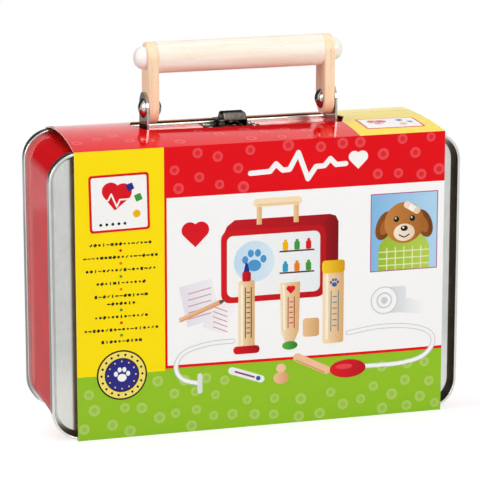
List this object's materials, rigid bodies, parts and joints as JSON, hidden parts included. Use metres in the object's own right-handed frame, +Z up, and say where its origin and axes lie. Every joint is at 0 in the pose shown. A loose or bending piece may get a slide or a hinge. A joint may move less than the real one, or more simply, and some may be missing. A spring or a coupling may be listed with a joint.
{
  "type": "toy doctor case",
  "caption": "Toy doctor's suitcase: pressed-tin body and hinged lid with swinging wooden handle, toggle latch, printed card sleeve and a tray of wooden toys inside.",
  "frame": {"origin": "under the middle of the case, on the surface it stands on", "axes": "+X right along the case's width, +Y back from the deep body to the lid, +Z up"},
  "size_m": [0.21, 0.065, 0.1904],
  "materials": {
    "red_enamel": "gloss enamel on tinplate",
    "tinplate": "bare tinplate, fine grained",
    "printed_card": "printed and glazed card",
    "steel_wire": "bright steel wire",
    "dark_chrome": "nickel-plated steel",
    "beech": "smooth sanded beech",
    "white_plastic": "translucent white plastic",
    "white_tray": "thermoformed sheet",
    "red_paint": "painted beech",
    "blue_paint": "painted beech",
    "yellow_paint": "painted beech",
    "green_paint": "painted beech",
    "gauze": "white cotton gauze",
    "paper": "plain paper"
  },
  "bodies": {
    "case": {"body_band": "red_enamel", "body_panel": "tinplate", "sleeve_front": "printed_card", "left_hinge_body_leaf": "tinplate", "right_hinge_body_leaf": "tinplate", "left_hinge_pin": "steel_wire", "right_hinge_pin": "steel_wire", "left_bracket": "dark_chrome", "right_bracket": "dark_chrome", "left_pivot_rivet": "dark_chrome", "right_pivot_rivet": "dark_chrome", "bracket_rivets": "dark_chrome", "catch_plate": "dark_chrome", "catch_rivets": "dark_chrome", "insert_tray": "white_tray", "syringe_barrel": "beech", "syringe_flange": "red_paint", "syringe_nozzle": "blue_paint", "tube": "beech", "tube_cap": "yellow_paint", "ampoule": "beech", "ampoule_foot": "green_paint", "thermometer": "beech", "spatula": "beech", "otoscope": "beech", "wooden_stub": "beech", "bandage_roll": "gauze", "gauze_pad": "gauze", "pencil": "beech", "prescription_notes": "paper"},
    "lid": {"lid_band": "red_enamel", "lid_panel": "tinplate", "sleeve_back": "printed_card", "left_hinge_lid_leaf": "tinplate", "right_hinge_lid_leaf": "tinplate", "latch_base": "dark_chrome", "latch_base_rivets": "dark_chrome", "latch_pin": "steel_wire"},
    "hasp": {"hasp": "dark_chrome"},
    "handle": {"grip": "beech", "left_arm": "beech", "right_arm": "beech", "left_end_cap": "white_plastic", "right_end_cap": "white_plastic", "left_grip_screw": "steel_wire", "right_grip_screw": "steel_wire"},
    "plunger": {"syringe_plunger": "red_paint"}
  },
  "joints": [
    {"name": "handle_swing", "type": "hinge", "parent": "case", "child": "handle", "pos_m": [0, 0.004, 0.1575], "axis": [1, 0, 0], "range_deg": [-55, 90]},
    {"name": "lid_hinge", "type": "hinge", "parent": "case", "child": "lid", "pos_m": [0, 0.01915, 0.00125], "axis": [-1, 0, 0], "range_deg": [0, 110]},
    {"name": "hasp_flip", "type": "hinge", "parent": "lid", "child": "hasp", "pos_m": [0, 0.0246, 0.1452], "axis": [-1, 0, 0], "range_deg": [0, 95]},
    {"name": "plunger_slide", "type": "slide", "parent": "case", "child": "plunger", "axis": [0, 0, 1], "range_m": [0, 0.025]}
  ]
}
